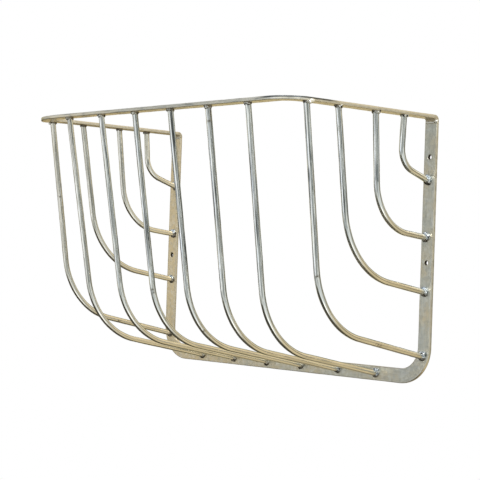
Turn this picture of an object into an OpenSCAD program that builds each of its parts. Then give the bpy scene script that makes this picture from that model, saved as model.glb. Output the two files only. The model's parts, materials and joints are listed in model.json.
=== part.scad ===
// Wall hay rack feeder: a flat-bar frame that bolts to a wall, a flat-bar hoop that stands
// out from its top, and round bars bent under the hoop to hold the hay. All joints are welds.
// Units are millimetres. +X runs along the wall, +Y goes into the wall, +Z is up.
// The origin is the centre of the four fixing holes, on the wall plane.

/* [Frame and hoop] */
// Width of the rack along the wall
rack_w = 690; // [660:5:800]
// Height from the bottom edge of the frame to the top of the hoop
rack_h = 450; // [440:2:500]
// How far the hoop stands out from the wall
rack_d = 346; // [344:2:420]
// Width of the flat bar
flat_w = 25; // [24:1:30]
// Thickness of the flat bar
flat_t = 6; // [5:0.5:8]
// Outer radius of the frame's two bottom corners
frame_corner_r = 63; // [45:1:75]
// Outer radius of the hoop's two front corners
hoop_corner_r = 50; // [40:1:56]
// Outer radius where each hoop arm turns down at the wall
heel_r = 9; // [8.5:0.25:9.25]
// Distance from the top of the hoop down to its weld seam on the frame
seam_drop = 11.5; // [11.5:0.5:15]

/* [Fixing holes] */
// Diameter of the fixing holes in the uprights
hole_d = 7.5; // [5:0.5:9]
// Height of the two lower holes above the bottom edge
lower_hole_h = 204; // [190:1:215]
// Height of the two upper holes above the bottom edge
upper_hole_h = 380; // [375:1:395]

/* [Round bars] */
// Diameter of every round bar
bar_d = 10; // [8:0.5:11]
// Inset of the side bars' wall ends from the rack's outer side
side_foot_inset = 15; // [12:0.5:16]
// Inset of the side bars' top ends from the rack's outer side
side_head_inset = 8.5; // [8.5:0.5:12]
// Height of the front bars' wall ends above the bottom edge
front_foot_h = 12.5; // [10:0.5:14]
// Spacing of the front bars along the bottom rail
front_foot_pitch = 91; // [80:0.5:100]
// Spacing of the front bars under the hoop
front_head_pitch = 95.5; // [80:0.5:100]
// Bend radius of the front bars
front_bend_r = 133; // [110:1:140]

/* [Welds] */
// Radius of the ball that shapes each weld at a bar's wall end
foot_weld_r = 9; // [8:0.25:9]
// How far that ball's centre lies behind the face it sits on
foot_weld_sink = 3; // [2.5:0.25:4]
// Radius of the ball that shapes each weld under the hoop
head_weld_r = 8.5; // [7.5:0.25:8.5]
// How far that ball's centre lies above the underside of the hoop
head_weld_sink = 3.5; // [3.5:0.25:4.5]
// Radius of the bead along each seam between hoop and frame
seam_bead_r = 2; // [1:0.25:2.25]

/* [Hidden] */

// Smoothness of round shapes
$fn = 96;

// Height of the origin above the bottom edge of the frame
origin_h = (lower_hole_h + upper_hole_h) / 2;
// Height of the hoop's underside, where the bars' top ends meet it
under_hoop_h = rack_h - flat_t;
// Half the width of the rack
half_w = rack_w / 2;
// Distance from the middle line of a flat bar to its edge
half_flat = flat_w / 2;
// Spare length on bars and cutters so that they pass right through a face
spare = 20;
// Size of the block that trims the bars' ends
trim = 4 * max(rack_w, rack_h, rack_d);
// A bar's straight lengths run this far into its bend, and are this much thinner than it all
// round, so that the three pieces join in clean circles
lap = 1.5;
ease = 0.04;

zinc = "silver";
zinc_dull = "darkgray";
bright_weld = "gainsboro";

// A side bar's shape: [distance of its top end from the wall, height of its wall end,
// lean of its leg in degrees, fall of its run in degrees, bend radius].
// Number 1 is next to the wall; the bars get longer and rounder towards the front.
side_bars = [
    [78, 341, 1.5, 18, 41],
    [146, 246, 6, 6, 90],
    [232, 155, 9.3, 9.3, 133],
    [302, 48, 8.5, 11.3, 130]
];
// Lean of the front bars' legs and fall of their runs, in degrees
front_lean = 9.8;
front_fall = 10.4;

// Puts children, drawn with the frame's bottom edge at height 0, in the part's own frame
module from_bottom() {
    translate([0, 0, -origin_h])
        children();
}

// The right-hand children's mirror image, on the left
module in_mirror() {
    mirror([1, 0, 0])
        children();
}

// The right-hand children and their mirror image
module both_sides() {
    children();
    in_mirror()
        children();
}

// A flat bar's section turned a quarter turn about +Z on its edge, outer radius r
module edgewise_bend(r) {
    rotate_extrude(angle = 90)
        translate([r - flat_w, 0])
            square([flat_w, flat_t]);
}

// ---- flat bars ----

// Right-hand upright of the frame, from the end of the corner to the seam
module upright() {
    translate([half_w - flat_w, -flat_t, frame_corner_r])
        cube([flat_w, flat_t, rack_h - seam_drop - frame_corner_r]);
}

// Right-hand bottom corner of the frame
module frame_corner() {
    translate([half_w - frame_corner_r, 0, frame_corner_r])
        rotate([90, 0, 0])
            rotate([0, 0, -90])
                edgewise_bend(frame_corner_r);
}

module fixing_holes() {
    for (h = [lower_hole_h, upper_hole_h])
        translate([half_w - half_flat, spare / 2, h])
            rotate([90, 0, 0])
                cylinder(d = hole_d, h = flat_t + spare);
}

// U-shaped frame of flat bar that lies on the wall
module wall_frame() {
    rail_w = rack_w - 2 * frame_corner_r;
    color(zinc)
        from_bottom()
            difference() {
                union() {
                    both_sides() {
                        upright();
                        frame_corner();
                    }
                    translate([-rail_w / 2, -flat_t, 0])
                        cube([rail_w, flat_t, flat_w]);
                }
                both_sides()
                    fixing_holes();
            }
}

// Right-hand arm of the hoop, with its heel turned down to meet the upright
module hoop_arm() {
    translate([half_w - flat_w, hoop_corner_r - rack_d, under_hoop_h])
        cube([flat_w, rack_d - hoop_corner_r - heel_r, flat_t]);
    translate([half_w - flat_w, -heel_r, rack_h - heel_r])
        rotate([90, 0, 90])
            rotate_extrude(angle = 90)
                translate([heel_r - flat_t, 0])
                    square([flat_t, flat_w]);
    translate([half_w - flat_w, -flat_t, rack_h - seam_drop])
        cube([flat_w, flat_t, seam_drop - heel_r]);
}

// Right-hand front corner of the hoop
module hoop_corner() {
    translate([half_w - hoop_corner_r, hoop_corner_r - rack_d, under_hoop_h])
        rotate([0, 0, -90])
            edgewise_bend(hoop_corner_r);
}

// U-shaped hoop of flat bar that lies level and stands out from the wall
module top_hoop() {
    front_w = rack_w - 2 * hoop_corner_r;
    color(zinc)
        from_bottom() {
            both_sides() {
                hoop_arm();
                hoop_corner();
            }
            translate([-front_w / 2, -rack_d, under_hoop_h])
                cube([front_w, flat_w, flat_t]);
        }
}

// ---- round bars ----

// Straight length of bar that starts just inside the bend, at the origin, and runs up past its end
module straight_length(l) {
    translate([0, 0, -lap])
        cylinder(d = bar_d - 2 * ease, h = lap + l + spare);
}

// A bar in its own upright plane, before its ends are trimmed. From its head, which is head_y
// out from the wall at height head_h, a straight leg leans in towards the wall. Its foot meets
// the frame's face at foot_h after a straight run that falls towards the wall, and one bend
// joins leg and run.
module bar_path(head_y, head_h, foot_h, lean, fall, bend_r) {
    turn = 90 - lean - fall;
    // unit vectors [y, z] down the leg and out along the run
    down = [sin(lean), -cos(lean)];
    out = [-cos(fall), sin(fall)];
    // the leg's and the run's centre lines cross at the knee
    gap = [head_y - flat_t, foot_h - head_h];
    det = down.y * out.x - down.x * out.y;
    to_knee = (gap.y * out.x - gap.x * out.y) / det;
    from_foot = (down.x * gap.y - down.y * gap.x) / det;
    tangent = bend_r * tan(turn / 2);
    knee = [-head_y, head_h] + to_knee * down;
    leg_end = knee - tangent * down;
    run_end = knee + tangent * -out;
    centre = leg_end + bend_r * [cos(lean), sin(lean)];
    translate([0, leg_end.x, leg_end.y])
        rotate([lean, 0, 0])
            straight_length(to_knee - tangent);
    translate([0, centre.x, centre.y])
        rotate([90, 0, 90])
            rotate([0, 0, 180 + lean])
                rotate_extrude(angle = turn)
                    translate([bend_r, 0])
                        circle(d = bar_d);
    translate([0, run_end.x, run_end.y])
        rotate([-90 - fall, 0, 0])
            straight_length(from_foot - tangent);
}

// A bar whose plane is tilted sideways so that its head is at head_x and its foot at foot_x
module tilted_bar(head_x, foot_x, head_y, foot_h, lean, fall, bend_r) {
    rise = under_hoop_h - foot_h;
    tilt = atan2(head_x - foot_x, rise);
    translate([foot_x, 0, foot_h])
        rotate([0, tilt, 0])
            translate([0, 0, -foot_h])
                bar_path(head_y, foot_h + rise / cos(tilt), foot_h, lean, fall, bend_r);
}

// Trims children to the space in front of the frame and below the hoop
module trimmed() {
    intersection() {
        children();
        translate([-trim / 2, -trim - flat_t, under_hoop_h - trim])
            cube(trim);
    }
}

// Front bar number n, from 1 at the left to 6 at the right
module front_bar(n) {
    place = n - 3.5;
    tilted_bar(
        place * front_head_pitch, place * front_foot_pitch, rack_d - half_flat,
        front_foot_h, front_lean, front_fall, front_bend_r
    );
}

// Right-hand side bar number n, from 1 next to the wall to 4 at the front
module side_bar(n) {
    b = side_bars[n - 1];
    tilted_bar(
        half_w - side_head_inset, half_w - side_foot_inset, b[0],
        b[1], b[2], b[3], b[4]
    );
}

module finished_front_bar(n) {
    color(zinc_dull)
        from_bottom()
            trimmed()
                front_bar(n);
}

module finished_right_bar(n) {
    color(zinc_dull)
        from_bottom()
            trimmed()
                side_bar(n);
}

module finished_left_bar(n) {
    in_mirror()
        finished_right_bar(n);
}

module front_bar_1() { finished_front_bar(1); }
module front_bar_2() { finished_front_bar(2); }
module front_bar_3() { finished_front_bar(3); }
module front_bar_4() { finished_front_bar(4); }
module front_bar_5() { finished_front_bar(5); }
module front_bar_6() { finished_front_bar(6); }
module left_bar_1() { finished_left_bar(1); }
module left_bar_2() { finished_left_bar(2); }
module left_bar_3() { finished_left_bar(3); }
module left_bar_4() { finished_left_bar(4); }
module right_bar_1() { finished_right_bar(1); }
module right_bar_2() { finished_right_bar(2); }
module right_bar_3() { finished_right_bar(3); }
module right_bar_4() { finished_right_bar(4); }

// ---- welds ----

// Domed ring of weld round a bar's foot on the frame's face; the bar itself is cut away
module foot_weld(x, h) {
    difference() {
        trimmed()
            translate([x, foot_weld_sink - flat_t, h])
                sphere(r = foot_weld_r);
        children();
    }
}

// Domed ring of weld round a bar's head under the hoop; the bar itself is cut away
module head_weld(x, y) {
    difference() {
        trimmed()
            translate([x, y, under_hoop_h + head_weld_sink])
                sphere(r = head_weld_r);
        children();
    }
}

// Feet of front bars 4 to 6 on the bottom rail
module right_rail_welds() {
    color(bright_weld)
        from_bottom()
            for (n = [4 : 6])
                foot_weld((n - 3.5) * front_foot_pitch, front_foot_h)
                    front_bar(n);
}

// Feet of the right-hand side bars on their upright
module right_upright_welds() {
    color(bright_weld)
        from_bottom()
            for (n = [1 : 4])
                foot_weld(half_w - side_foot_inset, side_bars[n - 1][1])
                    side_bar(n);
}

// Heads of front bars 4 to 6 under the front of the hoop
module right_front_welds() {
    color(bright_weld)
        from_bottom()
            for (n = [4 : 6])
                head_weld((n - 3.5) * front_head_pitch, half_flat - rack_d)
                    front_bar(n);
}

// Heads of the right-hand side bars under their arm of the hoop
module right_arm_welds() {
    color(bright_weld)
        from_bottom()
            for (n = [1 : 4])
                head_weld(half_w - side_head_inset, -side_bars[n - 1][0])
                    side_bar(n);
}

// Half-round bead with round ends along the seam between the hoop and the right-hand upright
module right_seam_weld() {
    bead_l = flat_w - 2 * seam_bead_r;
    color(bright_weld)
        from_bottom()
            intersection() {
                translate([half_w - flat_w + seam_bead_r, -flat_t, rack_h - seam_drop]) {
                    rotate([0, 90, 0])
                        cylinder(r = seam_bead_r, h = bead_l);
                    for (x = [0, bead_l])
                        translate([x, 0, 0])
                            sphere(r = seam_bead_r);
                }
                translate([0, -flat_t - trim, 0])
                    cube(trim);
            }
}

module left_rail_welds() { in_mirror() right_rail_welds(); }
module left_upright_welds() { in_mirror() right_upright_welds(); }
module left_front_welds() { in_mirror() right_front_welds(); }
module left_arm_welds() { in_mirror() right_arm_welds(); }
module left_seam_weld() { in_mirror() right_seam_weld(); }

wall_frame();
top_hoop();
front_bar_1();
front_bar_2();
front_bar_3();
front_bar_4();
front_bar_5();
front_bar_6();
left_bar_1();
left_bar_2();
left_bar_3();
left_bar_4();
right_bar_1();
right_bar_2();
right_bar_3();
right_bar_4();
left_rail_welds();
right_rail_welds();
left_upright_welds();
right_upright_welds();
left_front_welds();
right_front_welds();
left_arm_welds();
right_arm_welds();
left_seam_weld();
right_seam_weld();
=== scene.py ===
"""Looks of the wall hay rack: hot-dip galvanised flat bar, round bar and weld beads.

Every visible piece is mesh code built around the CAD frame, in metres and in the CAD frame's own
axes: +X along the wall, +Y into the wall, +Z up.
"""

import json
import math

import bpy
import numpy as np
from mathutils import Matrix, Vector, noise


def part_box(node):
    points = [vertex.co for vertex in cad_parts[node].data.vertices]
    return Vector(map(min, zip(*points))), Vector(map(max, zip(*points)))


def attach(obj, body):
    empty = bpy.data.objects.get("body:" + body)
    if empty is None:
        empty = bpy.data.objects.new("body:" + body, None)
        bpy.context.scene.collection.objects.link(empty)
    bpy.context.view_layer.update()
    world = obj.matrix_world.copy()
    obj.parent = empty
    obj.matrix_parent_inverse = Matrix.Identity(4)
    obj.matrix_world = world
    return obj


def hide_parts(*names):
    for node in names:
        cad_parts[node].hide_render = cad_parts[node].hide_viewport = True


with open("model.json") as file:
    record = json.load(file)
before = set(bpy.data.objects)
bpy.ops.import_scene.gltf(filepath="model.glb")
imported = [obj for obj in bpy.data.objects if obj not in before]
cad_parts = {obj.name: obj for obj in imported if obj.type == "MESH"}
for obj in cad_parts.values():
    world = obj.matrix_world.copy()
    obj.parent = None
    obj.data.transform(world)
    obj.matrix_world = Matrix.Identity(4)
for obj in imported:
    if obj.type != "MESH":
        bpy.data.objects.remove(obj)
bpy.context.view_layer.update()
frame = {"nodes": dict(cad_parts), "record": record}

MM = 0.001
X, Y, Z = (np.array(axis, float) for axis in ((1, 0, 0), (0, 1, 0), (0, 0, 1)))

# ---- sizes, from the CAD frame ----

FLAT_T = -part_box("wall_frame")[0].y
HALF_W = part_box("wall_frame")[1].x
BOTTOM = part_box("wall_frame")[0].z
SEAM_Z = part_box("wall_frame")[1].z
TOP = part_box("top_hoop")[1].z
DEPTH = -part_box("top_hoop")[0].y
UNDER_HOOP = TOP - FLAT_T
FLAT_W = 25 * MM
FRAME_CORNER_R = 63 * MM
HOOP_CORNER_R = 50 * MM
HEEL_R = 9 * MM
BAR_R = 5 * MM
EDGE_R = 1.1 * MM

# the fixing holes: their radius, and how far each is from the frame's middle along x and z
HOLES = frame["record"]["mounts"][0]["dims"]
HOLE_R = HOLES["hole_r_mm"] * MM
HOLE_X = HOLES["spacing_x_mm"] * MM / 2
HOLE_Z = HOLES["spacing_y_mm"] * MM / 2

# ---- fineness of the meshes ----

FLAT_STEP = 2.5 * MM
BAR_STEP = 2 * MM
BAR_SIDES = 32
FEWEST_IN_BEND = 6
# rings over which the look of a bend fades into a straight
BEND_EASE = 8
# how far apart in the noise two seeds look
SEED_STRIDE = (3.1, 1.7, 0.9)


# ---- sweeping a section along a path ----

def turned(vector, axis, angle):
    """A vector turned about a unit axis."""
    c, s = math.cos(angle), math.sin(angle)
    return vector * c + np.cross(axis, vector) * s + axis * (axis @ vector) * (1 - c)


class Path:
    """Rings along a centre line: where each is, its heading, its top, and 1 if it is in a bend."""

    def __init__(self, start, heading, top, step):
        self.step = step
        self.rings = [(start, heading, top, 0.0)]

    def ahead(self, length):
        start, heading, top = self.rings[-1][:3]
        count = max(1, round(length / self.step))
        for i in range(1, count + 1):
            self.rings.append((start + heading * length * i / count, heading, top, 0.0))

    def bend(self, towards, radius, angle):
        start, heading, top = self.rings[-1][:3]
        axis = np.cross(heading, towards)
        centre = start + towards * radius
        count = max(FEWEST_IN_BEND, round(radius * angle / self.step))
        for i in range(1, count + 1):
            a = angle * i / count
            spot = centre - turned(towards, axis, a) * radius
            self.rings.append((spot, turned(heading, axis, a), turned(top, axis, a), 1.0))


def mesh_object(name, verts, faces, uvs=None):
    """A smooth-shaded mesh object; uvs holds one (u, v) pair in metres for each face corner."""
    mesh = bpy.data.meshes.new(name)
    mesh.from_pydata([tuple(map(float, v)) for v in verts], [], faces)
    if uvs is not None:
        layer = mesh.uv_layers.new(name="length_and_girth")
        layer.data.foreach_set("uv", np.asarray(uvs, np.float32).ravel())
    mesh.polygons.foreach_set("use_smooth", [True] * len(mesh.polygons))
    mesh.update()
    obj = bpy.data.objects.new(name, mesh)
    bpy.context.scene.collection.objects.link(obj)
    return obj


def distances(spots):
    """How far along a line of points each point is."""
    return np.r_[0, np.cumsum(np.linalg.norm(np.diff(spots, axis=0), axis=1))]


def sweep(name, path, section, uv_start=0.0):
    """A closed solid: the section's (side, top) points carried along the path, capped at both ends."""
    spots, headings, tops, bends = (np.array(a) for a in zip(*path.rings))
    sides = np.cross(tops, headings)
    section = np.array(section)
    across, up = section[None, :, :1], section[None, :, 1:]
    rings = spots[:, None] + across * sides[:, None] + up * tops[:, None]
    n, m = len(spots), len(section)
    length = uv_start + distances(spots)
    girth = distances(np.r_[section, section[:1]])
    faces, uvs = [], []
    for i in range(n - 1):
        for j in range(m):
            k = (j + 1) % m
            faces.append((i * m + j, i * m + k, (i + 1) * m + k, (i + 1) * m + j))
            uvs += [(length[i], girth[j]), (length[i], girth[j + 1]),
                    (length[i + 1], girth[j + 1]), (length[i + 1], girth[j])]
    for i, order in ((0, range(m - 1, -1, -1)), (n - 1, range(m))):
        faces.append([i * m + j for j in order])
        uvs += [(length[i], girth[j]) for j in order]
    obj = mesh_object(name, rings.reshape(-1, 3), faces, uvs)
    eased = np.convolve(np.pad(bends, BEND_EASE, mode="edge"), np.ones(2 * BEND_EASE + 1), "valid")
    store(obj, "bent", np.repeat(eased / (2 * BEND_EASE + 1), m))
    store(obj, "level", np.repeat(np.hypot(headings[:, 0], headings[:, 1]), m))
    return obj


def store(obj, name, values):
    """Keeps one number for each vertex, for the materials to read."""
    layer = obj.data.attributes.new(name, "FLOAT", "POINT")
    layer.data.foreach_set("value", np.asarray(values, np.float32))


def roughen(obj, size, height, seed):
    """Moves every vertex along its normal by smooth noise, as an uneven coat of zinc does."""
    shift = Vector(SEED_STRIDE) * seed
    normals = [v.normal.copy() for v in obj.data.vertices]
    for v, normal in zip(obj.data.vertices, normals):
        v.co += normal * height * noise.noise(v.co / size + shift)
    obj.data.update()


def install(obj, node, material):
    """Puts a finished piece in place of its CAD node."""
    obj.data.materials.clear()
    obj.data.materials.append(material)
    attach(obj, "root")
    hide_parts(node)


# ---- node graphs ----

def add(tree, kind, inputs=None, **settings):
    """A shader node with its inputs linked or set."""
    node = tree.nodes.new(kind)
    for key, value in settings.items():
        setattr(node, key, value)
    for key, value in (inputs or {}).items():
        if isinstance(value, bpy.types.NodeSocket):
            tree.links.new(value, node.inputs[key])
        else:
            node.inputs[key].default_value = value
    return node


def maths(tree, operation, a, b=0.0):
    return add(tree, "ShaderNodeMath", {0: a, 1: b}, operation=operation).outputs[0]


def times(tree, a, b):
    return maths(tree, "MULTIPLY", a, b)


def inverse(tree, a):
    """1 where the value is 0, and 0 where it is 1."""
    return maths(tree, "SUBTRACT", 1.0, a)


def vector_maths(tree, operation, a, b, output=0):
    return add(tree, "ShaderNodeVectorMath", {0: a, 1: b}, operation=operation).outputs[output]


def scaled(tree, a, factor):
    return add(tree, "ShaderNodeVectorMath", {0: a, "Scale": factor}, operation="SCALE").outputs[0]


def ramp(tree, value, low, high, out_low=0.0, out_high=1.0):
    """The value's place between low and high, eased at both ends."""
    inputs = {"Value": value, "From Min": low, "From Max": high, "To Min": out_low, "To Max": out_high}
    return add(tree, "ShaderNodeMapRange", inputs, interpolation_type="SMOOTHSTEP").outputs["Result"]


def mix(tree, share, a, b):
    """Colour a, or b where share is 1."""
    node = add(tree, "ShaderNodeMix", data_type="RGBA", clamp_factor=True)
    for socket, value in ((node.inputs[0], share), (node.inputs[6], a), (node.inputs[7], b)):
        if isinstance(value, bpy.types.NodeSocket):
            tree.links.new(value, socket)
        else:
            socket.default_value = (*value, 1) if isinstance(value, tuple) else value
    return node.outputs[2]


def noise_at(tree, vector, scale, detail, roughness=0.5, output="Fac"):
    """Smooth noise; scale is about how many lumps it has in a metre."""
    inputs = {"Vector": vector, "Scale": scale, "Detail": detail, "Roughness": roughness}
    return add(tree, "ShaderNodeTexNoise", inputs).outputs[output]


def bump(tree, height, depth, normal=None):
    """A bump whose height runs from 0 to depth metres."""
    inputs = {"Height": height, "Distance": depth, "Strength": 1.0}
    if normal is not None:
        inputs["Normal"] = normal
    return add(tree, "ShaderNodeBump", inputs).outputs["Normal"]


def new_metal(name):
    material = bpy.data.materials.new(name)
    material.use_nodes = True
    tree = material.node_tree
    tree.nodes.clear()
    surface = add(tree, "ShaderNodeBsdfPrincipled", {"Metallic": 1.0})
    out = add(tree, "ShaderNodeOutputMaterial")
    tree.links.new(surface.outputs[0], out.inputs["Surface"])
    return material, tree, surface


def finish_metal(tree, surface, colour, roughness, normal):
    for name, value in (("Base Color", colour), ("Roughness", roughness), ("Normal", normal)):
        tree.links.new(value, surface.inputs[name])


def attribute(tree, name):
    return add(tree, "ShaderNodeAttribute", attribute_name=name).outputs["Fac"]


# ---- galvanised steel ----

# colours, as linear red, green and blue
COOL_ZINC = (0.68, 0.73, 0.77)
PALE_ZINC = (0.93, 0.95, 0.95)
BLUE_ZINC = (0.40, 0.46, 0.53)
BRIGHT_BLUE = (0.82, 0.87, 0.92)
WARM_ZINC = (0.86, 0.72, 0.48)
# painted highlight, for the rolled edges of the flats and the welds under the hoop
EDGE_HIGHLIGHT = (0.97, 0.93, 0.84)
DULL_ZINC = (0.34, 0.37, 0.38)
FLAT_ZINC = (0.71, 0.71, 0.64)
# dark brown, for the bars' scars and for painted shade on the welds
SOOT_AND_SHADE = (0.17, 0.14, 0.10)
# warm brown, for the flats towards the bottom and for painted warm light on the welds of the rail's
# left part
WARM_BROWN = (0.52, 0.46, 0.33)
# painted shade, for the underside of the hoop's left arm
ARM_SHADE = (0.30, 0.24, 0.14)
RIM_BROWN = (0.36, 0.28, 0.16)
# painted brownish shade, for the hollows under the hoop's heels
HEEL_SHADE = (0.56, 0.49, 0.36)
STREAK = (0.11, 0.12, 0.125)
SCALE_BLUE = (0.08, 0.095, 0.11)
# dark colours, for the weld pits and for painted shade in the fixing holes
PIT_AND_HOLE_SHADE = (0.035, 0.03, 0.025)
HOLE_SHADE = (0.16, 0.14, 0.11)

# how many lumps, crystals or lines each pattern on a flat has in a metre
CLOUDS = 26.0
SPANGLE = 190.0
WANDER = 220.0
FLAT_SPECKS = 420.0
ROLLING_LINES = 430.0
HOLE_GRAIN = 700.0
FLAT_GRAIN = 900.0
# how far spangle edges wander, and how many times longer than wide a rolling line is
WANDER_REACH = 3.5 * MM
ROLLED_OUT = 16.0

# a brownish line along each rolled edge: how far in from the wide face it lies, and its widths
RIM_IN = 0.5 * MM
RIM_WIDE = 0.9 * MM
RIM_NARROW = 0.3 * MM

# patterns on a round bar: times longer than wide, lumps in a metre across the bar, fine detail
LONG_STREAKS = (80.0, 850.0, 0.0)
STREAKS = (18.0, 560.0, 1.0)
WAVES = (7.0, 150.0, 2.0)
BAR_SPECKS = (1.6, 330.0, 2.0)

# how many lumps each pattern on a weld has in a metre
WELD_PITS = 210.0
WELD_PATCHES = 320.0
WELD_LUMPS = 480.0
WELD_GRAIN = 1100.0
# painted-shade value of weld metal with neither painted shade nor pits
CLEAN = -1.0


def flat_bar_marks(tree, colour, place, at, facing, front):
    """Marks in certain places on the flats, among them painted reflection and painted shade: facing is
    1 on a top and -1 underneath, and front is 1 on the hoop's front."""
    # zinc ran off the inside of the frame's right bottom corner and left it blue
    bend = (HALF_W - FRAME_CORNER_R, 0, BOTTOM + FRAME_CORNER_R)
    from_bend = vector_maths(tree, "DISTANCE", place, bend, 1)
    colour = mix(tree, ramp(tree, from_bend, 62 * MM, 38 * MM, 0.0, 0.35), colour, BLUE_ZINC)

    # the middle of the hoop's front is rubbed dull
    mid_way = ramp(tree, maths(tree, "ABSOLUTE", at["X"]), 0.27, 0.02, 0.0, 0.22)
    colour = mix(tree, times(tree, mid_way, front), colour, DULL_ZINC)

    # undersides get a painted warm reflection of the ground, and the underside of the hoop's left arm
    # gets painted shade
    colour = mix(tree, ramp(tree, facing, -0.3, -0.7, 0.0, 0.40), colour, WARM_ZINC)
    left_arm = times(tree, ramp(tree, at["X"], -HALF_W + 40 * MM, -HALF_W + 28 * MM),
                     ramp(tree, at["Y"], -DEPTH + 40 * MM, -DEPTH + 70 * MM, 0.0, 0.95))
    arm_shade = times(tree, left_arm, ramp(tree, facing, -0.3, -0.7))
    colour = mix(tree, arm_shade, colour, ARM_SHADE)

    # a thin blue-grey line of scale along the top of the hoop's right front corner
    corner = (HALF_W, -DEPTH + 30 * MM, TOP)
    near_corner = ramp(tree, vector_maths(tree, "DISTANCE", place, corner, 1), 84 * MM, 52 * MM)
    along_top = ramp(tree, at["Z"], TOP - 3.0 * MM, TOP - 2.2 * MM)
    along_top = times(tree, along_top, ramp(tree, facing, 0.97, 0.75))
    scale_line = times(tree, near_corner, along_top)
    return mix(tree, times(tree, scale_line, 0.92), colour, SCALE_BLUE)


def flat_bar_zinc():
    """Satin zinc on flat bar: spangle crystals, cloudy patches, rolling lines, a warm cast with painted
    warm light on the left, painted edge highlights and painted shade under the heels.
    """
    material, tree, surface = new_metal("galvanised_flat_bar")
    texture = add(tree, "ShaderNodeTexCoord").outputs
    place = texture["Object"]
    at = add(tree, "ShaderNodeSeparateXYZ", {"Vector": place}).outputs
    normal = add(tree, "ShaderNodeNewGeometry").outputs["Normal"]
    facing = add(tree, "ShaderNodeSeparateXYZ", {"Vector": normal}).outputs["Z"]
    wander = noise_at(tree, place, WANDER, 2.0, output="Color")
    wandering = vector_maths(tree, "ADD", place, scaled(tree, wander, WANDER_REACH))
    spangle = {"Vector": wandering, "Scale": SPANGLE}
    crystal = add(tree, "ShaderNodeTexVoronoi", spangle).outputs["Color"]
    crystals = add(tree, "ShaderNodeSeparateColor", {"Color": crystal}).outputs
    clouds = noise_at(tree, place, CLOUDS, 4.0, 0.55)
    grain = noise_at(tree, place, FLAT_GRAIN, 3.0, 0.6)
    speck = noise_at(tree, place, FLAT_SPECKS, 2.0)

    # girth runs narrow side, wide face, narrow side, wide face; each pair is half the way round
    uv = add(tree, "ShaderNodeSeparateXYZ", {"Vector": texture["UV"]}).outputs
    length, girth = uv["X"], uv["Y"]
    narrow = FLAT_T - 2 * EDGE_R + math.pi * EDGE_R
    half_way = narrow + FLAT_W - 2 * EDGE_R
    round_half = maths(tree, "MODULO", girth, half_way)
    on_edge = ramp(tree, round_half, narrow * 1.05, narrow * 0.95)
    off_middle = maths(tree, "ABSOLUTE", maths(tree, "SUBTRACT", round_half, narrow / 2))
    off_rim = maths(tree, "ABSOLUTE", maths(tree, "SUBTRACT", off_middle, narrow / 2 - RIM_IN))
    rim = ramp(tree, off_rim, RIM_WIDE, RIM_NARROW)
    drawn_out = {"X": maths(tree, "DIVIDE", length, ROLLED_OUT), "Y": girth}
    on_line = add(tree, "ShaderNodeCombineXYZ", drawn_out).outputs[0]
    rolled = noise_at(tree, on_line, ROLLING_LINES, 2.0, 0.6)

    # the cast: warm in the clouds, painted warm light to the left, and browner towards the bottom
    warm_light_left = ramp(tree, at["X"], 0.15, -HALF_W)
    warmth = ramp(tree, maths(tree, "ADD", clouds, times(tree, warm_light_left, 0.55)), 0.40, 0.95)
    colour = mix(tree, warmth, FLAT_ZINC, WARM_ZINC)
    browner_low = ramp(tree, at["Z"], -0.12, BOTTOM + FLAT_W, 0.0, 0.25)
    colour = mix(tree, browner_low, colour, WARM_BROWN)

    # pale and dull crystals, dull specks, and a painted highlight on the edges, brighter near the top
    colour = mix(tree, ramp(tree, crystals[0], 0.45, 1.0, 0.0, 0.25), colour, PALE_ZINC)
    colour = mix(tree, ramp(tree, crystals[1], 0.55, 1.0, 0.0, 0.22), colour, DULL_ZINC)
    colour = mix(tree, ramp(tree, speck, 0.60, 0.78, 0.0, 0.35), colour, DULL_ZINC)
    bright = ramp(tree, at["Z"], TOP - 30 * MM, TOP - 10 * MM, 0.40, 0.75)
    colour = mix(tree, times(tree, on_edge, bright), colour, EDGE_HIGHLIGHT)

    # rolling lines, strongest on the hoop's front, and the brown line along each edge
    front = ramp(tree, at["Y"], -DEPTH + 12 * MM, -DEPTH + 4 * MM)
    streaky = maths(tree, "ADD", 0.2, times(tree, front, 0.5))
    dark_line = times(tree, ramp(tree, rolled, 0.50, 0.66), streaky)
    colour = mix(tree, dark_line, colour, DULL_ZINC)
    pale_line = times(tree, ramp(tree, rolled, 0.46, 0.32), streaky)
    colour = mix(tree, pale_line, colour, PALE_ZINC)
    brown = times(tree, rim, ramp(tree, clouds, 0.35, 0.6, 0.25, 0.65))
    colour = mix(tree, brown, colour, RIM_BROWN)
    colour = flat_bar_marks(tree, colour, place, at, facing, front)

    # painted brownish shade, less metallic, lies in the hollow under each heel of the hoop
    in_hollow = times(tree, ramp(tree, at["Z"], SEAM_Z - 4 * MM, SEAM_Z),
                      ramp(tree, at["Y"], -FLAT_T - 7 * MM, -FLAT_T - 3 * MM))
    colour = mix(tree, in_hollow, colour, HEEL_SHADE)
    tree.links.new(inverse(tree, times(tree, in_hollow, 0.75)), surface.inputs["Metallic"])

    rough = ramp(tree, crystals[2], 0.0, 1.0, 0.32, 0.42)
    rough = maths(tree, "ADD", rough, ramp(tree, grain, 0.35, 0.7, -0.03, 0.05))
    tilt = scaled(tree, vector_maths(tree, "SUBTRACT", crystal, (0.5, 0.5, 0.5)), 0.05)
    facets = vector_maths(tree, "NORMALIZE", vector_maths(tree, "ADD", normal, tilt), (0, 0, 0))
    bumps = bump(tree, speck, 0.02 * MM, facets)
    bumps = bump(tree, grain, 0.008 * MM, bumps)
    finish_metal(tree, surface, colour, rough, bumps)
    return material


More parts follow.
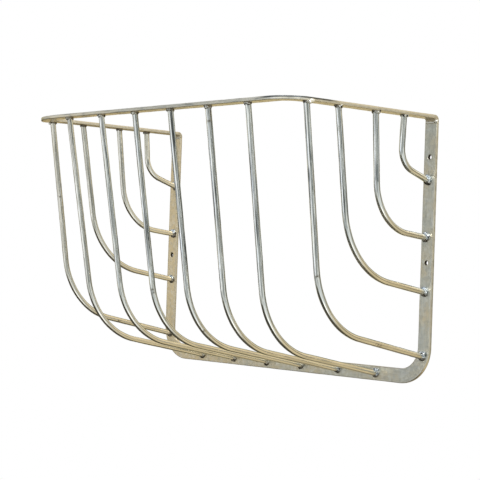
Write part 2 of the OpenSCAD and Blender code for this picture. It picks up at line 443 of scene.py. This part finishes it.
def hole_zinc():
    """Dull zinc down in a fixing hole, darkened with painted shade."""
    material, tree, surface = new_metal("shaded_hole_wall")
    place = add(tree, "ShaderNodeTexCoord").outputs["Object"]
    grain = noise_at(tree, place, HOLE_GRAIN, 3.0, 0.6)
    colour = mix(tree, ramp(tree, grain, 0.40, 0.70), PIT_AND_HOLE_SHADE, HOLE_SHADE)
    rough = ramp(tree, grain, 0.3, 0.7, 0.5, 0.8)
    finish_metal(tree, surface, colour, rough, bump(tree, grain, 0.1 * MM))
    return material


def round_bar_zinc():
    """Bright zinc on drawn round bar: long streaks on the legs, a mirror in the bends, dust and a
    painted warm reflection of the ground below, and painted light to the left.
    """
    material, tree, surface = new_metal("galvanised_round_bar")
    texture = add(tree, "ShaderNodeTexCoord").outputs
    uv = add(tree, "ShaderNodeSeparateXYZ", {"Vector": texture["UV"]}).outputs
    angle = maths(tree, "DIVIDE", uv["Y"], BAR_R)
    around = [times(tree, maths(tree, wave, angle), BAR_R) for wave in ("COSINE", "SINE")]

    def drawn_out(longer, scale, detail):
        """Noise that is so many times longer along the bar than round it."""
        along = maths(tree, "DIVIDE", uv["X"], longer)
        spot = add(tree, "ShaderNodeCombineXYZ", {"X": around[0], "Y": around[1], "Z": along})
        return noise_at(tree, spot.outputs[0], scale, detail)

    long_streaks = drawn_out(*LONG_STREAKS)
    streaks = drawn_out(*STREAKS)
    waves = drawn_out(*WAVES)
    speck = drawn_out(*BAR_SPECKS)

    # dust, with a painted warm reflection of the ground, lies where the bar runs level; bends are
    # smooth, and the streaks are on the legs
    bent = attribute(tree, "bent")
    dust_and_ground_reflection = ramp(tree, attribute(tree, "level"), 0.45, 0.97)
    calm = maths(tree, "MAXIMUM", bent, times(tree, dust_and_ground_reflection, 0.7))
    lively = inverse(tree, times(tree, calm, 0.93))

    at = add(tree, "ShaderNodeSeparateXYZ", {"Vector": texture["Object"]}).outputs
    x, z = at["X"], at["Z"]
    colour = mix(tree, ramp(tree, streaks, 0.42, 0.58), COOL_ZINC, PALE_ZINC)
    dark_streak = times(tree, ramp(tree, long_streaks, 0.44, 0.39), lively)
    dark_streak = times(tree, dark_streak, ramp(tree, x, -HALF_W, -0.05, 0.75, 0.90))
    colour = mix(tree, dark_streak, colour, STREAK)
    pale_streak = times(tree, ramp(tree, long_streaks, 0.54, 0.60), lively)
    colour = mix(tree, times(tree, pale_streak, 0.85), colour, PALE_ZINC)

    # painted light: paler and warmer to the left; a painted warm reflection of the ground on the runs,
    # strongest low down; scattered dull specks and the scars
    colour = mix(tree, ramp(tree, x, 0.12, -HALF_W, 0.0, 0.25), colour, PALE_ZINC)
    ground_reflection = times(tree, dust_and_ground_reflection, ramp(tree, z, 0.10, -0.15, 0.42, 1.0))
    warmth = maths(tree, "MAXIMUM", ground_reflection, ramp(tree, x, -0.10, -HALF_W, 0.0, 0.5))
    colour = mix(tree, times(tree, warmth, 0.42), colour, WARM_ZINC)
    colour = mix(tree, ramp(tree, speck, 0.68, 0.80, 0.0, 0.5), colour, DULL_ZINC)
    scar = times(tree, attribute(tree, "scar"), ramp(tree, speck, 0.40, 0.50))
    colour = mix(tree, scar, colour, SOOT_AND_SHADE)

    rough = ramp(tree, streaks, 0.35, 0.65, 0.07, 0.15)
    rough = times(tree, rough, inverse(tree, times(tree, bent, 0.5)))
    rough = maths(tree, "ADD", rough, times(tree, dust_and_ground_reflection, 0.08))
    bumps = bump(tree, times(tree, waves, lively), 0.25 * MM)
    bumps = bump(tree, times(tree, long_streaks, lively), 0.5 * MM, bumps)
    bumps = bump(tree, times(tree, streaks, lively), 0.3 * MM, bumps)
    finish_metal(tree, surface, colour, rough, bumps)
    return material


def weld_zinc():
    """Thick bright zinc over rough weld metal: black pits, painted shade on the side away from the
    heaviest weld and where the bead meets the flat, a painted highlight under the hoop, and painted
    warm light on the rail's left part.
    """
    material, tree, surface = new_metal("galvanised_weld")
    place = add(tree, "ShaderNodeTexCoord").outputs["Object"]
    at = add(tree, "ShaderNodeSeparateXYZ", {"Vector": place}).outputs
    lumps = noise_at(tree, place, WELD_LUMPS, 2.0, 0.6)
    grain = noise_at(tree, place, WELD_GRAIN, 2.0, 0.6)
    patches = noise_at(tree, place, WELD_PATCHES, 0.0)
    cells = add(tree, "ShaderNodeTexVoronoi", {"Vector": place, "Scale": WELD_PITS}).outputs
    pits = cells["Distance"]
    chosen = add(tree, "ShaderNodeSeparateColor", {"Color": cells["Color"]}).outputs[0]
    painted_shade = attribute(tree, "painted_shade")
    clean = ramp(tree, painted_shade, 0.0, 0.5 * CLEAN)
    pit = times(tree, ramp(tree, pits, 0.42, 0.30), ramp(tree, chosen, 0.42, 0.36))
    pit = times(tree, pit, inverse(tree, clean))
    # painted shade: dark brown on each bead's shaded side and root, broken up by the lumps
    shade_mix = ramp(tree, maths(tree, "ADD", painted_shade, times(tree, lumps, 0.5)), 0.70, 1.05)

    colour = mix(tree, ramp(tree, patches, 0.48, 0.56), BLUE_ZINC, BRIGHT_BLUE)
    colour = mix(tree, clean, colour, PALE_ZINC)
    # painted warm light on the welds of the rail's left part
    on_rail = times(tree, ramp(tree, at["X"], 0.17, 0.05), ramp(tree, at["Z"], -0.20, -0.26))
    colour = mix(tree, times(tree, on_rail, 0.65), colour, WARM_BROWN)
    # painted highlight on the welds under the hoop
    head_highlight = ramp(tree, at["Z"], TOP - 30 * MM, TOP - 20 * MM, 0.0, 0.5)
    colour = mix(tree, head_highlight, colour, EDGE_HIGHLIGHT)
    colour = mix(tree, times(tree, shade_mix, 0.85), colour, SOOT_AND_SHADE)
    colour = mix(tree, pit, colour, PIT_AND_HOLE_SHADE)

    rough = ramp(tree, grain, 0.3, 0.7, 0.16, 0.32)
    rough = maths(tree, "ADD", rough, times(tree, clean, 0.15))
    lumpy = inverse(tree, times(tree, clean, 0.8))
    bumps = bump(tree, times(tree, lumps, lumpy), 1.4 * MM)
    bumps = bump(tree, times(tree, pits, lumpy), 0.6 * MM, bumps)
    bumps = bump(tree, grain, 0.04 * MM, bumps)
    finish_metal(tree, surface, colour, rough, bumps)
    return material


# ---- flat bars ----

def flat_section():
    """A flat bar's section: rolled edges, and points close enough on its faces to carry waviness."""
    steps = 4
    half = np.array([FLAT_W / 2, FLAT_T / 2])
    points = []
    for k, (sx, sz) in enumerate(((1, -1), (1, 1), (-1, 1), (-1, -1))):
        centre = (half - EDGE_R) * np.array([sx, sz])
        for i in range(steps + 1):
            a = math.radians(-90 + 90 * k + 90 * i / steps)
            points.append(centre + EDGE_R * np.array([math.cos(a), math.sin(a)]))
        if k in (1, 3):
            # between the rounded edges of a wide face
            span = 2 * (half[0] - EDGE_R)
            count = round(span / FLAT_STEP)
            for _ in range(1, count):
                points.append(points[-1] + np.array([-sx * span / count, 0]))
    return points


def hole_cutter(x, z):
    """A round cutter that flares at both faces, so that the zinc rolls into the hole."""
    lip, lip_steps, sides = 0.9 * MM, 5, 40
    front = []
    for i in range(lip_steps + 1):
        a = math.radians(90 * i / lip_steps)
        front.append((HOLE_R + lip * (1 - math.sin(a)), lip * (1 - math.cos(a))))
    # (radius, depth behind the front face), from outside the front to outside the back
    outline = [(HOLE_R + 1.2 * lip, -3 * lip)] + front
    outline += [(r, FLAT_T - d) for r, d in reversed(outline)]
    verts, faces = [], []
    for r, depth in outline:
        for j in range(sides):
            a = 2 * math.pi * j / sides
            verts.append((x + r * math.cos(a), depth - FLAT_T, z + r * math.sin(a)))
    for i in range(len(outline) - 1):
        for j in range(sides):
            k = (j + 1) % sides
            faces.append((i * sides + j, (i + 1) * sides + j, (i + 1) * sides + k, i * sides + k))
    faces.append(list(range(sides)))
    faces.append([(len(outline) - 1) * sides + j for j in range(sides - 1, -1, -1)])
    return mesh_object("hole_cutter", verts, faces)


def cut(obj, cutter):
    modifier = obj.modifiers.new("cut", "BOOLEAN")
    modifier.object = cutter
    modifier.operation = "DIFFERENCE"
    modifier.solver = "EXACT"
    graph = bpy.context.evaluated_depsgraph_get()
    mesh = bpy.data.meshes.new_from_object(obj.evaluated_get(graph))
    obj.modifiers.clear()
    obj.data = mesh
    bpy.data.objects.remove(cutter)


def darken_holes(obj, material):
    """Gives the walls of the fixing holes their own dull material, darkened with painted shade."""
    obj.data.materials.append(material)
    for face in obj.data.polygons:
        x = abs(abs(face.center.x) - HOLE_X)
        z = abs(abs(face.center.z) - HOLE_Z)
        if math.hypot(x, z) < HOLE_R + 0.3 * MM:
            face.material_index = 1


def uneven_flat(obj, seed):
    """A slow waviness and a fine one, as on galvanised flat bar."""
    roughen(obj, 30 * MM, 0.16 * MM, seed)
    roughen(obj, 7 * MM, 0.06 * MM, seed + 1)


def make_wall_frame(material, hole_material):
    line_x = HALF_W - FLAT_W / 2
    corner = FRAME_CORNER_R - FLAT_W / 2
    upright = SEAM_Z - BOTTOM - FRAME_CORNER_R
    start = np.array([-line_x, -FLAT_T / 2, SEAM_Z])
    path = Path(start, -Z, -Y, FLAT_STEP)
    path.ahead(upright)
    path.bend(X, corner, math.pi / 2)
    path.ahead(2 * (HALF_W - FRAME_CORNER_R))
    path.bend(Z, corner, math.pi / 2)
    path.ahead(upright)
    obj = sweep("wall_frame_zinc", path, flat_section())
    uneven_flat(obj, 1)
    for side in (-1, 1):
        for level in (-1, 1):
            cut(obj, hole_cutter(side * HOLE_X, level * HOLE_Z))
    install(obj, "wall_frame", material)
    darken_holes(obj, hole_material)


# the hoop's left front corner hangs a little
CORNER_DROOP = 3.4 * MM
CORNER_REACH = 42 * MM


def make_top_hoop(material):
    line_x = HALF_W - FLAT_W / 2
    corner = HOOP_CORNER_R - FLAT_W / 2
    heel = HEEL_R - FLAT_T / 2
    arm = DEPTH - HOOP_CORNER_R - HEEL_R
    shank = TOP - HEEL_R - SEAM_Z
    path = Path(np.array([-line_x, -FLAT_T / 2, SEAM_Z]), Z, Y, FLAT_STEP)
    path.ahead(shank)
    path.bend(-Y, heel, math.pi / 2)
    path.ahead(arm)
    path.bend(X, corner, math.pi / 2)
    path.ahead(2 * (HALF_W - HOOP_CORNER_R))
    path.bend(Y, corner, math.pi / 2)
    path.ahead(arm)
    path.bend(-Z, heel, math.pi / 2)
    path.ahead(shank)
    obj = sweep("top_hoop_zinc", path, flat_section())
    for v in obj.data.vertices:
        away = math.hypot(v.co.x + HALF_W, v.co.y + DEPTH)
        v.co.z -= CORNER_DROOP * math.exp(-(away / CORNER_REACH) ** 2)
    uneven_flat(obj, 3)
    install(obj, "top_hoop", material)


# ---- round bars ----

# lean of the leg and fall of the run in degrees, and bend radius in mm
FRONT_SHAPE = (9.8, 10.4, 133)
SIDE_SHAPES = ((1.5, 18, 41), (6, 6, 90), (9.3, 9.3, 133), (8.5, 11.3, 130))

FIRST_BAR_SEED = 10

SHAPES = {f"front_bar_{n}": FRONT_SHAPE for n in range(1, 7)}
for side in ("left", "right"):
    SHAPES.update({f"{side}_bar_{n}": SIDE_SHAPES[n - 1] for n in range(1, 5)})

# drips and jig marks: how far from the head of the bar each lies, in mm
SCARS = {
    "front_bar_3": (306, 312), "front_bar_4": (382,), "front_bar_5": (24,),
    "left_bar_4": (140, 441, 446), "right_bar_4": (270, 456, 461, 467),
}
SCAR_LENGTH = 1.8 * MM
SCAR_HEIGHT = 0.25 * MM
# the side of a bar that its scars are on
SCAR_SIDE = Vector((X - Y - 0.4 * Z) / math.sqrt(2))


def scar_bar(obj, node, path):
    """Raises a bar's drips and marks, and stores where they are for the material."""
    along = distances([ring[0] for ring in path.rings])
    depth = 0 * along
    for place in SCARS.get(node, ()):
        depth += np.exp(-((along - place * MM) / SCAR_LENGTH) ** 2)
    normals = [v.normal.copy() for v in obj.data.vertices]
    facing = np.array([max(0.0, normal @ SCAR_SIDE) for normal in normals])
    facing = facing.reshape(-1, BAR_SIDES)
    facing = (facing / facing.max(axis=1, keepdims=True)).ravel()
    scar = np.repeat(depth, BAR_SIDES) * facing ** 4
    for v, normal, height in zip(obj.data.vertices, normals, scar * SCAR_HEIGHT):
        v.co += normal * float(height)
    store(obj, "scar", scar)


GROOVE_WIDTH = 2.0 * MM
GROOVE_LENGTH = 70 * MM
GROOVE_DEPTH = 0.11 * MM
# how far apart along the noise the grooves of two bars are
GROOVE_STRIDE = 7.3


def groove_bar(obj, path, seed):
    """Faint grooves and ridges along a bar, left by drawing it; they fade in the bend."""
    normals = [v.normal.copy() for v in obj.data.vertices]
    for i, v in enumerate(obj.data.vertices):
        ring, side = divmod(i, BAR_SIDES)
        a = 2 * math.pi * side / BAR_SIDES
        around = Vector((math.cos(a), math.sin(a), 0)) * BAR_R / GROOVE_WIDTH
        along = Vector((0, 0, ring * path.step / GROOVE_LENGTH + GROOVE_STRIDE * seed))
        depth = GROOVE_DEPTH * (1 - 0.8 * path.rings[ring][3])
        v.co += normals[i] * depth * noise.noise(around + along)


def bar_ends(node):
    """Centres of a bar's head under the hoop and of its foot on the frame, from its CAD mesh."""
    co = np.array([v.co for v in frame["nodes"][node].data.vertices])
    touching = 0.05 * MM
    head = co[co[:, 2] > UNDER_HOOP - touching]
    foot = co[co[:, 1] > -FLAT_T - touching]
    return (head.min(0) + head.max(0)) / 2, (foot.min(0) + foot.max(0)) / 2


def bar_path(node):
    """Centre line of a bar, from its head down its leg, round its bend and along its run."""
    lean, fall = (math.radians(a) for a in SHAPES[node][:2])
    radius = SHAPES[node][2] * MM
    head, foot = bar_ends(node)
    rise = head[2] - foot[2]
    tilt = math.atan2(head[0] - foot[0], rise)
    up = X * math.sin(tilt) + Z * math.cos(tilt)
    down_leg = Y * math.sin(lean) - up * math.cos(lean)
    # leg and run cross at the knee: a down the leg and b along the run lead from head to foot
    plane = np.array([[math.sin(lean), math.cos(fall)], [-math.cos(lean), -math.sin(fall)]])
    a, b = np.linalg.solve(plane, [(foot - head) @ Y, -rise / math.cos(tilt)])
    turn = math.pi / 2 - lean - fall
    tangent = radius * math.tan(turn / 2)
    towards = Y * math.cos(lean) + up * math.sin(lean)
    path = Path(head, down_leg, towards, BAR_STEP)
    path.ahead(a - tangent)
    path.bend(towards, radius, turn)
    path.ahead(b - tangent)
    return path


def make_bar(node, material, seed):
    """A round bar, uneven all along, whose ends lie flat against the hoop and the frame."""
    path = bar_path(node)
    circle = [2 * math.pi * j / BAR_SIDES for j in range(BAR_SIDES)]
    section = [(BAR_R * math.cos(a), BAR_R * math.sin(a)) for a in circle]
    obj = sweep(node + "_zinc", path, section, uv_start=float(seed))
    scar_bar(obj, node, path)
    groove_bar(obj, path, seed)
    roughen(obj, 24 * MM, 0.22 * MM, seed)
    roughen(obj, 6 * MM, 0.10 * MM, seed + 40)
    for v in obj.data.vertices:
        v.co.z = min(v.co.z, UNDER_HOOP)
        v.co.y = min(v.co.y, -FLAT_T)
    for v in obj.data.vertices[:BAR_SIDES]:
        v.co.z = UNDER_HOOP
    for v in obj.data.vertices[-BAR_SIDES:]:
        v.co.y = -FLAT_T
    install(obj, node, material)


# ---- welds ----

WELD_SIDES = 56
WELD_ROWS = 14
WELD_LUMP_COUNT = 8
# how far a bead reaches in under the bar, and how far the solid goes into the flat
WELD_TUCK = 0.3 * MM
WELD_SINK = 0.5 * MM
# width, height, and painted shade where it meets the flat, of the bead at a bar's foot and head
FOOT_BEAD = (4.3 * MM, 6.0 * MM, 0.15)
HEAD_BEAD = (2.7 * MM, 4.6 * MM, 0.55)


def collar(spot, heading, out, heavy, width, height, root, seed):
    """A lumpy weld bead round a bar's end, as its verts, its faces and how much painted shade each vert
    has: spot is on the flat's face, out is the face's normal, heading runs up the bar, heavy is the
    side with the most weld, and root is how much painted shade it has where it meets the flat."""
    draw = np.random.default_rng(seed)
    side = np.cross(out, heavy)
    side /= np.linalg.norm(side)
    heavy = np.cross(side, out)
    lump_at = draw.uniform(0, 2 * math.pi, WELD_LUMP_COUNT)
    lump_size = draw.uniform(-0.28, 0.28, WELD_LUMP_COUNT)
    lump_width = draw.uniform(0.22, 0.45, WELD_LUMP_COUNT)
    climb = heading / (heading @ out)
    verts, faces, painted_shade = [], [], []
    for i in range(WELD_ROWS + 1):
        t = math.radians(90 * i / WELD_ROWS)
        for j in range(WELD_SIDES):
            a = 2 * math.pi * j / WELD_SIDES
            away = np.angle(np.exp(1j * (a - lump_at)))
            lump = np.sum(lump_size * np.exp(-(away / lump_width) ** 2))
            # largest on the heavy side, and waisted a quarter of the way round from it
            size = 0.68 + 0.22 * math.cos(a) + 0.16 * math.cos(2 * a) + lump
            size = max(size, 0.12)
            radial = BAR_R - WELD_TUCK + (width * size + WELD_TUCK) * math.cos(t)
            level = height * (0.35 + 0.65 * size) * math.sin(t)
            ring = heavy * math.cos(a) + side * math.sin(a)
            verts.append(spot + climb * level + ring * radial)
            # painted shade on the side away from the heavy side, and in the crease where the bead meets
            # the flat
            painted_shade.append(0.5 - 0.5 * math.cos(a) + root * math.cos(t) ** 3)
    for i in range(WELD_ROWS):
        for j in range(WELD_SIDES):
            k = (j + 1) % WELD_SIDES
            faces.append((i * WELD_SIDES + j, i * WELD_SIDES + k,
                          (i + 1) * WELD_SIDES + k, (i + 1) * WELD_SIDES + j))
    # the two points that close it, in the flat and in the bar
    last, base = WELD_ROWS * WELD_SIDES, len(verts)
    verts += [spot - out * WELD_SINK, spot + climb * height * 0.6]
    painted_shade += [0.0, 0.0]
    for j in range(WELD_SIDES):
        k = (j + 1) % WELD_SIDES
        faces.append((k, j, base))
        faces.append((last + j, last + k, base + 1))
    return verts, faces, painted_shade


def make_welds(node, lumps, material, seed, unevenness=1.1 * MM):
    """One piece for a CAD group of welds; each lump is its verts, its faces and its painted shade."""
    verts, faces, painted_shade = [], [], []
    for new_verts, new_faces, new_painted_shade in lumps:
        start = len(verts)
        verts += new_verts
        faces += [tuple(start + i for i in f) for f in new_faces]
        painted_shade += new_painted_shade
    obj = mesh_object(node + "_zinc", verts, faces)
    store(obj, "painted_shade", painted_shade)
    roughen(obj, 3.2 * MM, unevenness, seed)
    roughen(obj, 1.5 * MM, 0.4 * unevenness, seed + 50)
    install(obj, node, material)


def foot_collars(nodes, heavy, seed):
    """The beads where bars meet the wall frame."""
    found = []
    for i, node in enumerate(nodes):
        heading = -bar_path(node).rings[-1][1]
        found.append(collar(bar_ends(node)[1], heading, -Y, heavy, *FOOT_BEAD, seed + i))
    return found


def head_collars(nodes, heavy, seed):
    """The beads where bars meet the hoop."""
    found = []
    for i, node in enumerate(nodes):
        heading = bar_path(node).rings[0][1]
        found.append(collar(bar_ends(node)[0], heading, -Z, heavy, *HEAD_BEAD, seed + i))
    return found


def seam_bead(side, seed):
    """A rippled bead across an upright, where the hoop's heel meets it: verts, faces, painted shade."""
    draw = np.random.default_rng(seed)
    radius, rows, sides = 1.4 * MM, 40, 20
    inset = 0.4 * MM
    inner, length = HALF_W - FLAT_W + inset, FLAT_W - 2 * inset
    verts, faces = [], []
    for i in range(rows + 1):
        t = i / rows
        swell = math.sqrt(max(0.0, 1 - (2 * t - 1) ** 6))
        ripple = 1 + 0.13 * math.cos(2 * math.pi * 7 * t) + draw.uniform(-0.05, 0.05)
        r = max(radius * swell * ripple, 0.05 * MM)
        x = side * (inner + length * t)
        for j in range(sides):
            a = 2 * math.pi * j / sides
            verts.append(np.array([x, -FLAT_T + 0.45 * r * math.cos(a), SEAM_Z + r * math.sin(a)]))
    for i in range(rows):
        for j in range(sides):
            k = (j + 1) % sides
            quad = (i * sides + j, i * sides + k, (i + 1) * sides + k, (i + 1) * sides + j)
            faces.append(quad if side > 0 else quad[::-1])
    first, last = tuple(range(sides)), tuple(rows * sides + j for j in range(sides))
    faces += [first[::-1], last] if side > 0 else [first, last[::-1]]
    return verts, faces, [CLEAN] * len(verts)


def blob(spot, size, seed):
    """A lumpy ball of weld metal, for where a bead runs over an edge: verts, faces, painted shade."""
    draw = np.random.default_rng(seed)
    rows, sides = 12, 20
    waves = draw.uniform(0, 2 * math.pi, 3)
    verts, faces = [spot + Z * size], []
    for i in range(1, rows):
        t = math.pi * i / rows
        for j in range(sides):
            a = 2 * math.pi * j / sides
            r = size * (1 + 0.12 * math.sin(2 * a + waves[0]) + 0.10 * math.cos(3 * t + a + waves[1]))
            level = X * math.cos(a) + Y * math.sin(a)
            verts.append(spot + r * (math.sin(t) * level + Z * math.cos(t)))
    verts.append(spot - Z * size)
    for j in range(sides):
        k = (j + 1) % sides
        faces.append((0, 1 + j, 1 + k))
        for i in range(rows - 2):
            low, high = 1 + i * sides, 1 + (i + 1) * sides
            faces.append((low + j, high + j, high + k, low + k))
        last = 1 + (rows - 2) * sides
        faces.append((last + k, last + j, len(verts) - 1))
    return verts, faces, [CLEAN] * len(verts)


def make_all_welds(material):
    """The same groups on each side; some weld runs over the hoop's edge and the seam's outer end."""
    for number, (side, sign) in enumerate((("left", -1), ("right", 1))):
        fronts = [f"front_bar_{n}" for n in ((1, 2, 3) if sign < 0 else (4, 5, 6))]
        sides = [f"{side}_bar_{n}" for n in range(1, 5)]
        seed = 100 + 40 * number
        outward = X * sign
        rail_welds = foot_collars(fronts, Z + 0.4 * X, seed)
        make_welds(f"{side}_rail_welds", rail_welds, material, seed)
        upright_welds = foot_collars(sides, Z + 0.4 * outward, seed + 8)
        make_welds(f"{side}_upright_welds", upright_welds, material, seed + 1)
        front_welds = head_collars(fronts, -Y, seed + 16)
        make_welds(f"{side}_front_welds", front_welds, material, seed + 2)
        arm_welds = head_collars(sides, outward, seed + 24)
        front_head = bar_ends(f"{side}_bar_4")[0]
        over_edge = np.array([sign * HALF_W, front_head[1], UNDER_HOOP]) + 4 * MM * Y
        arm_welds.append(blob(over_edge + 0.8 * MM * Z, 3.0 * MM, seed + 30))
        arm_welds.append(blob(over_edge - 2.2 * MM * Z - 4.5 * MM * Y, 2.6 * MM, seed + 31))
        make_welds(f"{side}_arm_welds", arm_welds, material, seed + 3)
        seam_end = np.array([sign * (HALF_W - 1 * MM), -FLAT_T, SEAM_Z + 1 * MM])
        seam = [seam_bead(sign, seed + 32), blob(seam_end, 3.4 * MM, seed + 33)]
        make_welds(f"{side}_seam_weld", seam, material, seed + 4, unevenness=0.3 * MM)


# ---- floor, light and camera ----

PAPER_WHITE = (1.0, 1.0, 1.0)
FLOOR_GREY = (0.5, 0.5, 0.47)
FLOOR_SIZE = 60
FLOOR_DROP = 0.6

# What the metal reflects: a plain room, with soft round patches of colour painted one over
# another. Azimuth 0 is out from the wall, 90 is +X and 180 is the wall; elevation is above the
# horizon; all angles are in degrees. A patch is full colour within its narrow angle and gone
# beyond its wide angle; flat above 1 makes it wider than it is high.
ROOM = (0.42, 0.44, 0.43)
# name: (azimuth, elevation, wide, narrow, flat, colour)
SURROUNDINGS = {
    "sky": (0, 90, 75, 20, 1, (0.90, 0.92, 0.95)),
    "ground": (5, -85, 69, 18, 1, (0.17, 0.15, 0.10)),
    "wall": (205, -13, 82, 67, 1, (0.30, 0.26, 0.19)),
    "lit_wall_top": (161, 54, 53, 44, 1, (0.84, 0.73, 0.50)),
    "lit_wall_foot": (134, -36, 37, 14, 1, (0.68, 0.59, 0.38)),
    "straw": (-102, -20, 46, 25, 1, (0.45, 0.43, 0.22)),
    "window": (-12, -9, 27, 6, 2, (1.30, 1.32, 1.38)),
    "bright_corner": (52, -5, 78, 3, 1, (0.94, 0.94, 0.85)),
    "grey_door": (46, -18, 37, 2, 1, (0.35, 0.37, 0.35)),
    "bright_ground": (55, -50, 30, 16, 1, (0.95, 0.94, 0.86)),
    "puddle": (68, -50, 13, 6, 1, (1.50, 1.48, 1.38)),
    "post": (79, -2, 17, 7, 2, (0.10, 0.12, 0.11)),
    "dark_stall": (-98, -22, 30, 21, 1, (0.0, 0.0, 0.0)),
    "own_shadow": (-60, -70, 46, 41, 1, (0.08, 0.075, 0.055)),
    "dark_wall": (-157, 8, 37, 9, 1, (0.12, 0.16, 0.11)),
    "far_gap": (174, -6, 42, 8, 3, (0.10, 0.11, 0.08)),
    "straw_bale": (-137, -5, 32, 10, 2, (0.90, 0.76, 0.48)),
    "zenith": (0, 90, 32, 16, 1, (0.80, 0.83, 0.86)),
}

# name: (place, target, size, power, colour)
LIGHTS = {
    "key": ((0.6, -1.6, 1.6), (0, -0.15, 0), (0.8, 0.8), 14, (1.0, 0.98, 0.95)),
    "side": ((1.6, -0.7, 1.2), (0, -0.15, 0), (0.5, 0.5), 9, (0.95, 0.98, 1.0)),
    "warm_fill": ((-1.5, -1.02, -0.1), (-0.33, 0, -0.05), (0.8, 1.1), 0.7, (1.0, 0.86, 0.66)),
}

# the camera's place in metres, its azimuth, elevation and roll in degrees, and its lens in mm
CAMERA_PLACE = (1.9069, -1.8499, -0.0975)
CAMERA_ANGLES = (47.857, 0.874, 2.021)
CAMERA_LENS = 108.474


def patch(tree, direction, azimuth, elevation, wide, narrow, flat):
    """1 within narrow degrees of a direction, 0 beyond wide degrees."""
    a, e = math.radians(azimuth), math.radians(elevation)
    squash = Vector((1, 1, flat))
    centre = Vector((math.sin(a) * math.cos(e), -math.cos(a) * math.cos(e), math.sin(e))) * squash
    seen = vector_maths(tree, "MULTIPLY", direction, tuple(squash))
    seen = vector_maths(tree, "NORMALIZE", seen, (0, 0, 0))
    dot = vector_maths(tree, "DOT_PRODUCT", seen, tuple(centre.normalized()), 1)
    return ramp(tree, dot, math.cos(math.radians(wide)), math.cos(math.radians(narrow)))


def make_surroundings():
    """Paper white to the camera; to the metal, the soft patches of a barn yard."""
    world = bpy.data.worlds.new("soft_surroundings")
    bpy.context.scene.world = world
    world.use_nodes = True
    tree = world.node_tree
    tree.nodes.clear()
    direction = add(tree, "ShaderNodeTexCoord").outputs["Generated"]
    colour = ROOM
    for *shape, patch_colour in SURROUNDINGS.values():
        colour = mix(tree, patch(tree, direction, *shape), colour, patch_colour)
    room = add(tree, "ShaderNodeBackground", {"Color": colour, "Strength": 1.0}).outputs[0]
    paper = add(tree, "ShaderNodeBackground", {"Color": (*PAPER_WHITE, 1), "Strength": 1.0}).outputs[0]
    seen = add(tree, "ShaderNodeLightPath").outputs["Is Camera Ray"]
    shown = add(tree, "ShaderNodeMixShader", {0: seen, 1: room, 2: paper}).outputs[0]
    tree.links.new(shown, add(tree, "ShaderNodeOutputWorld").inputs["Surface"])


def make_floor():
    """A plain pale floor well below the rack, paper white to the camera."""
    bpy.ops.mesh.primitive_plane_add(size=FLOOR_SIZE, location=(0, 0, BOTTOM - FLOOR_DROP))
    floor = bpy.context.object
    floor.name = "floor"
    material = bpy.data.materials.new("pale_floor")
    material.use_nodes = True
    tree = material.node_tree
    tree.nodes.clear()
    glow = add(tree, "ShaderNodeEmission", {"Color": (*PAPER_WHITE, 1), "Strength": 1.0}).outputs[0]
    matt = add(tree, "ShaderNodeBsdfDiffuse", {"Color": (*FLOOR_GREY, 1)}).outputs[0]
    seen = add(tree, "ShaderNodeLightPath").outputs["Is Camera Ray"]
    shown = add(tree, "ShaderNodeMixShader", {0: seen, 1: matt, 2: glow}).outputs[0]
    tree.links.new(shown, add(tree, "ShaderNodeOutputMaterial").inputs["Surface"])
    floor.data.materials.append(material)
    floor.visible_glossy = False


def make_light(name, place, target, size, power, colour):
    """A soft rectangular light, turned towards its target."""
    data = bpy.data.lights.new(name, "AREA")
    data.shape = "RECTANGLE"
    data.size, data.size_y = size
    data.energy = power
    data.color = colour
    light = bpy.data.objects.new(name, data)
    light.location = place
    light.rotation_euler = (Vector(target) - Vector(place)).to_track_quat("-Z", "Y").to_euler()
    bpy.context.scene.collection.objects.link(light)


def make_camera():
    """Low and to the right of the rack, looking very slightly up, and a little off level."""
    azimuth, elevation, roll = (math.radians(a) for a in CAMERA_ANGLES)
    data = bpy.data.cameras.new("camera")
    data.lens = CAMERA_LENS
    camera = bpy.data.objects.new("camera", data)
    bpy.context.scene.collection.objects.link(camera)
    turn = Matrix.Rotation(azimuth, 4, "Z") @ Matrix.Rotation(math.pi / 2 + elevation, 4, "X")
    place = Matrix.Translation(Vector(CAMERA_PLACE))
    camera.matrix_world = place @ turn @ Matrix.Rotation(roll, 4, "Z")
    bpy.context.scene.camera = camera


def main():
    flat_zinc, bar_zinc, bead_zinc = flat_bar_zinc(), round_bar_zinc(), weld_zinc()
    make_wall_frame(flat_zinc, hole_zinc())
    make_top_hoop(flat_zinc)
    for seed, node in enumerate(SHAPES, FIRST_BAR_SEED):
        make_bar(node, bar_zinc, seed)
    make_all_welds(bead_zinc)
    make_surroundings()
    make_floor()
    for name, light in LIGHTS.items():
        make_light(name, *light)
    make_camera()
    bpy.context.scene.view_settings.view_transform = "Standard"


main()
